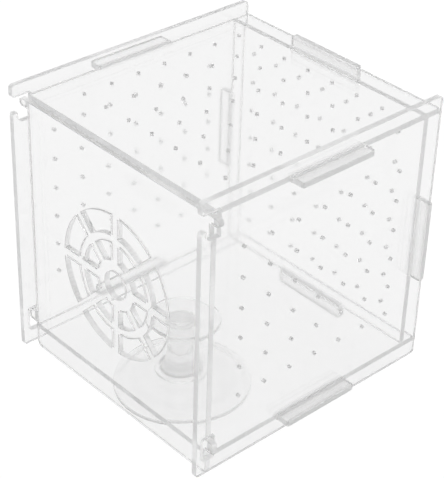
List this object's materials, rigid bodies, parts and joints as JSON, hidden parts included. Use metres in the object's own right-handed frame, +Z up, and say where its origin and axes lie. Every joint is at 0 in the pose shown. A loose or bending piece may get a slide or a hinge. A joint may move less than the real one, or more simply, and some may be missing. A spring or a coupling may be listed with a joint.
{
  "type": "aquarium breeder box",
  "caption": "Clear acrylic breeder box of interlocking sheets with water holes, a sliding door with a rosette of openings and a suction cup through the floor.",
  "frame": {"origin": "under the middle of the box, on the plane that the cup's lip and the door's bottom edge stand on", "axes": "+Z up, -Y out of the front plate, -X out of the sliding door, +X out of the end wall"},
  "size_m": [0.1, 0.1, 0.102],
  "materials": {
    "clear_acrylic": "clear cast acrylic sheet, polished faces and laser cut edges",
    "clear_soft_pvc": "clear soft PVC, moulded and glossy"
  },
  "bodies": {
    "box": {"front_plate": "clear_acrylic", "back_plate": "clear_acrylic", "lid_panel": "clear_acrylic", "floor_panel": "clear_acrylic", "end_wall": "clear_acrylic"},
    "door": {"sliding_door": "clear_acrylic"},
    "cup": {"suction_cup": "clear_soft_pvc"}
  },
  "joints": [
    {"name": "door_slide", "type": "slide", "parent": "box", "child": "door", "axis": [0, 0, 1], "range_m": [-0.0027, 0.0001]},
    {"name": "cup_slide", "type": "slide", "parent": "box", "child": "cup", "axis": [0, 0, 1], "range_m": [-0.0173, 0]}
  ]
}
